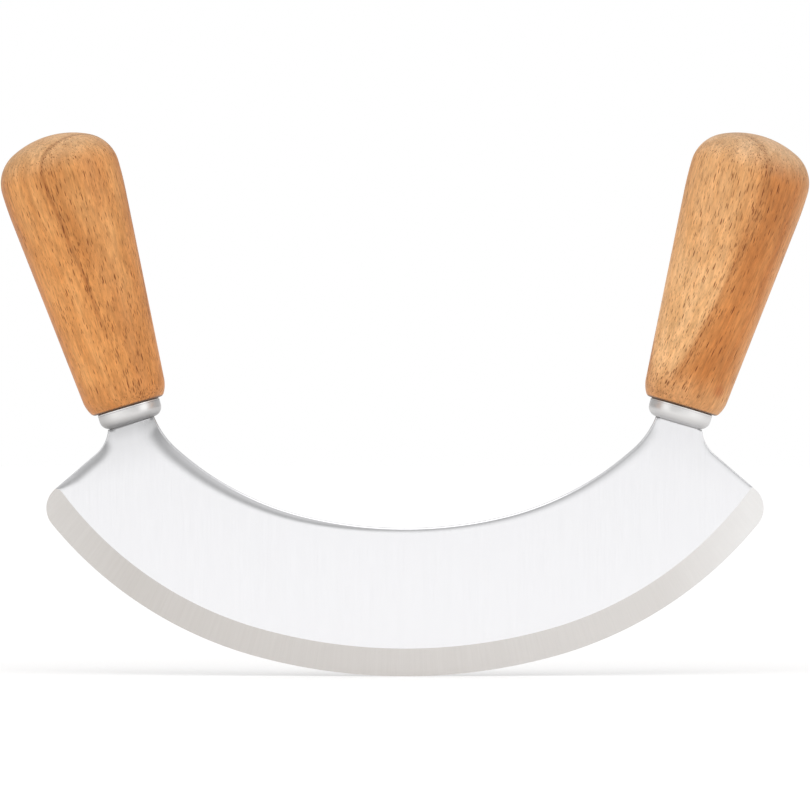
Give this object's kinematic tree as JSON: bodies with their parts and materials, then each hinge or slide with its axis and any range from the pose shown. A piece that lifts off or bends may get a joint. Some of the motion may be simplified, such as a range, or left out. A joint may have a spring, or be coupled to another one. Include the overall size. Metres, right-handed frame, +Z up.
{
  "type": "mezzaluna",
  "caption": "Rocking chopping knife: a crescent steel blade ground on both faces, with an upright turned wooden handle on a steel ferrule at each horn.",
  "frame": {"origin": "lowest point of the cutting edge, on the blade's mid-plane", "axes": "+X along the blade from the left handle to the right one, +Y through the blade from its front face to its back, +Z up to the handles"},
  "size_m": [0.2028, 0.0304, 0.1365],
  "materials": {
    "blade_steel": "fine satin, with a coarser ground bevel",
    "ferrule_steel": "satin, turned",
    "handle_wood": "satin oiled hardwood",
    "tang_resin": "set resin, not seen"
  },
  "bodies": {
    "root": {"blade": "blade_steel", "ferrule_left": "ferrule_steel", "ferrule_right": "ferrule_steel", "handle_left": "handle_wood", "handle_right": "handle_wood", "tang_adhesive_left": "tang_resin", "tang_adhesive_right": "tang_resin"}
  },
  "joints": []
}
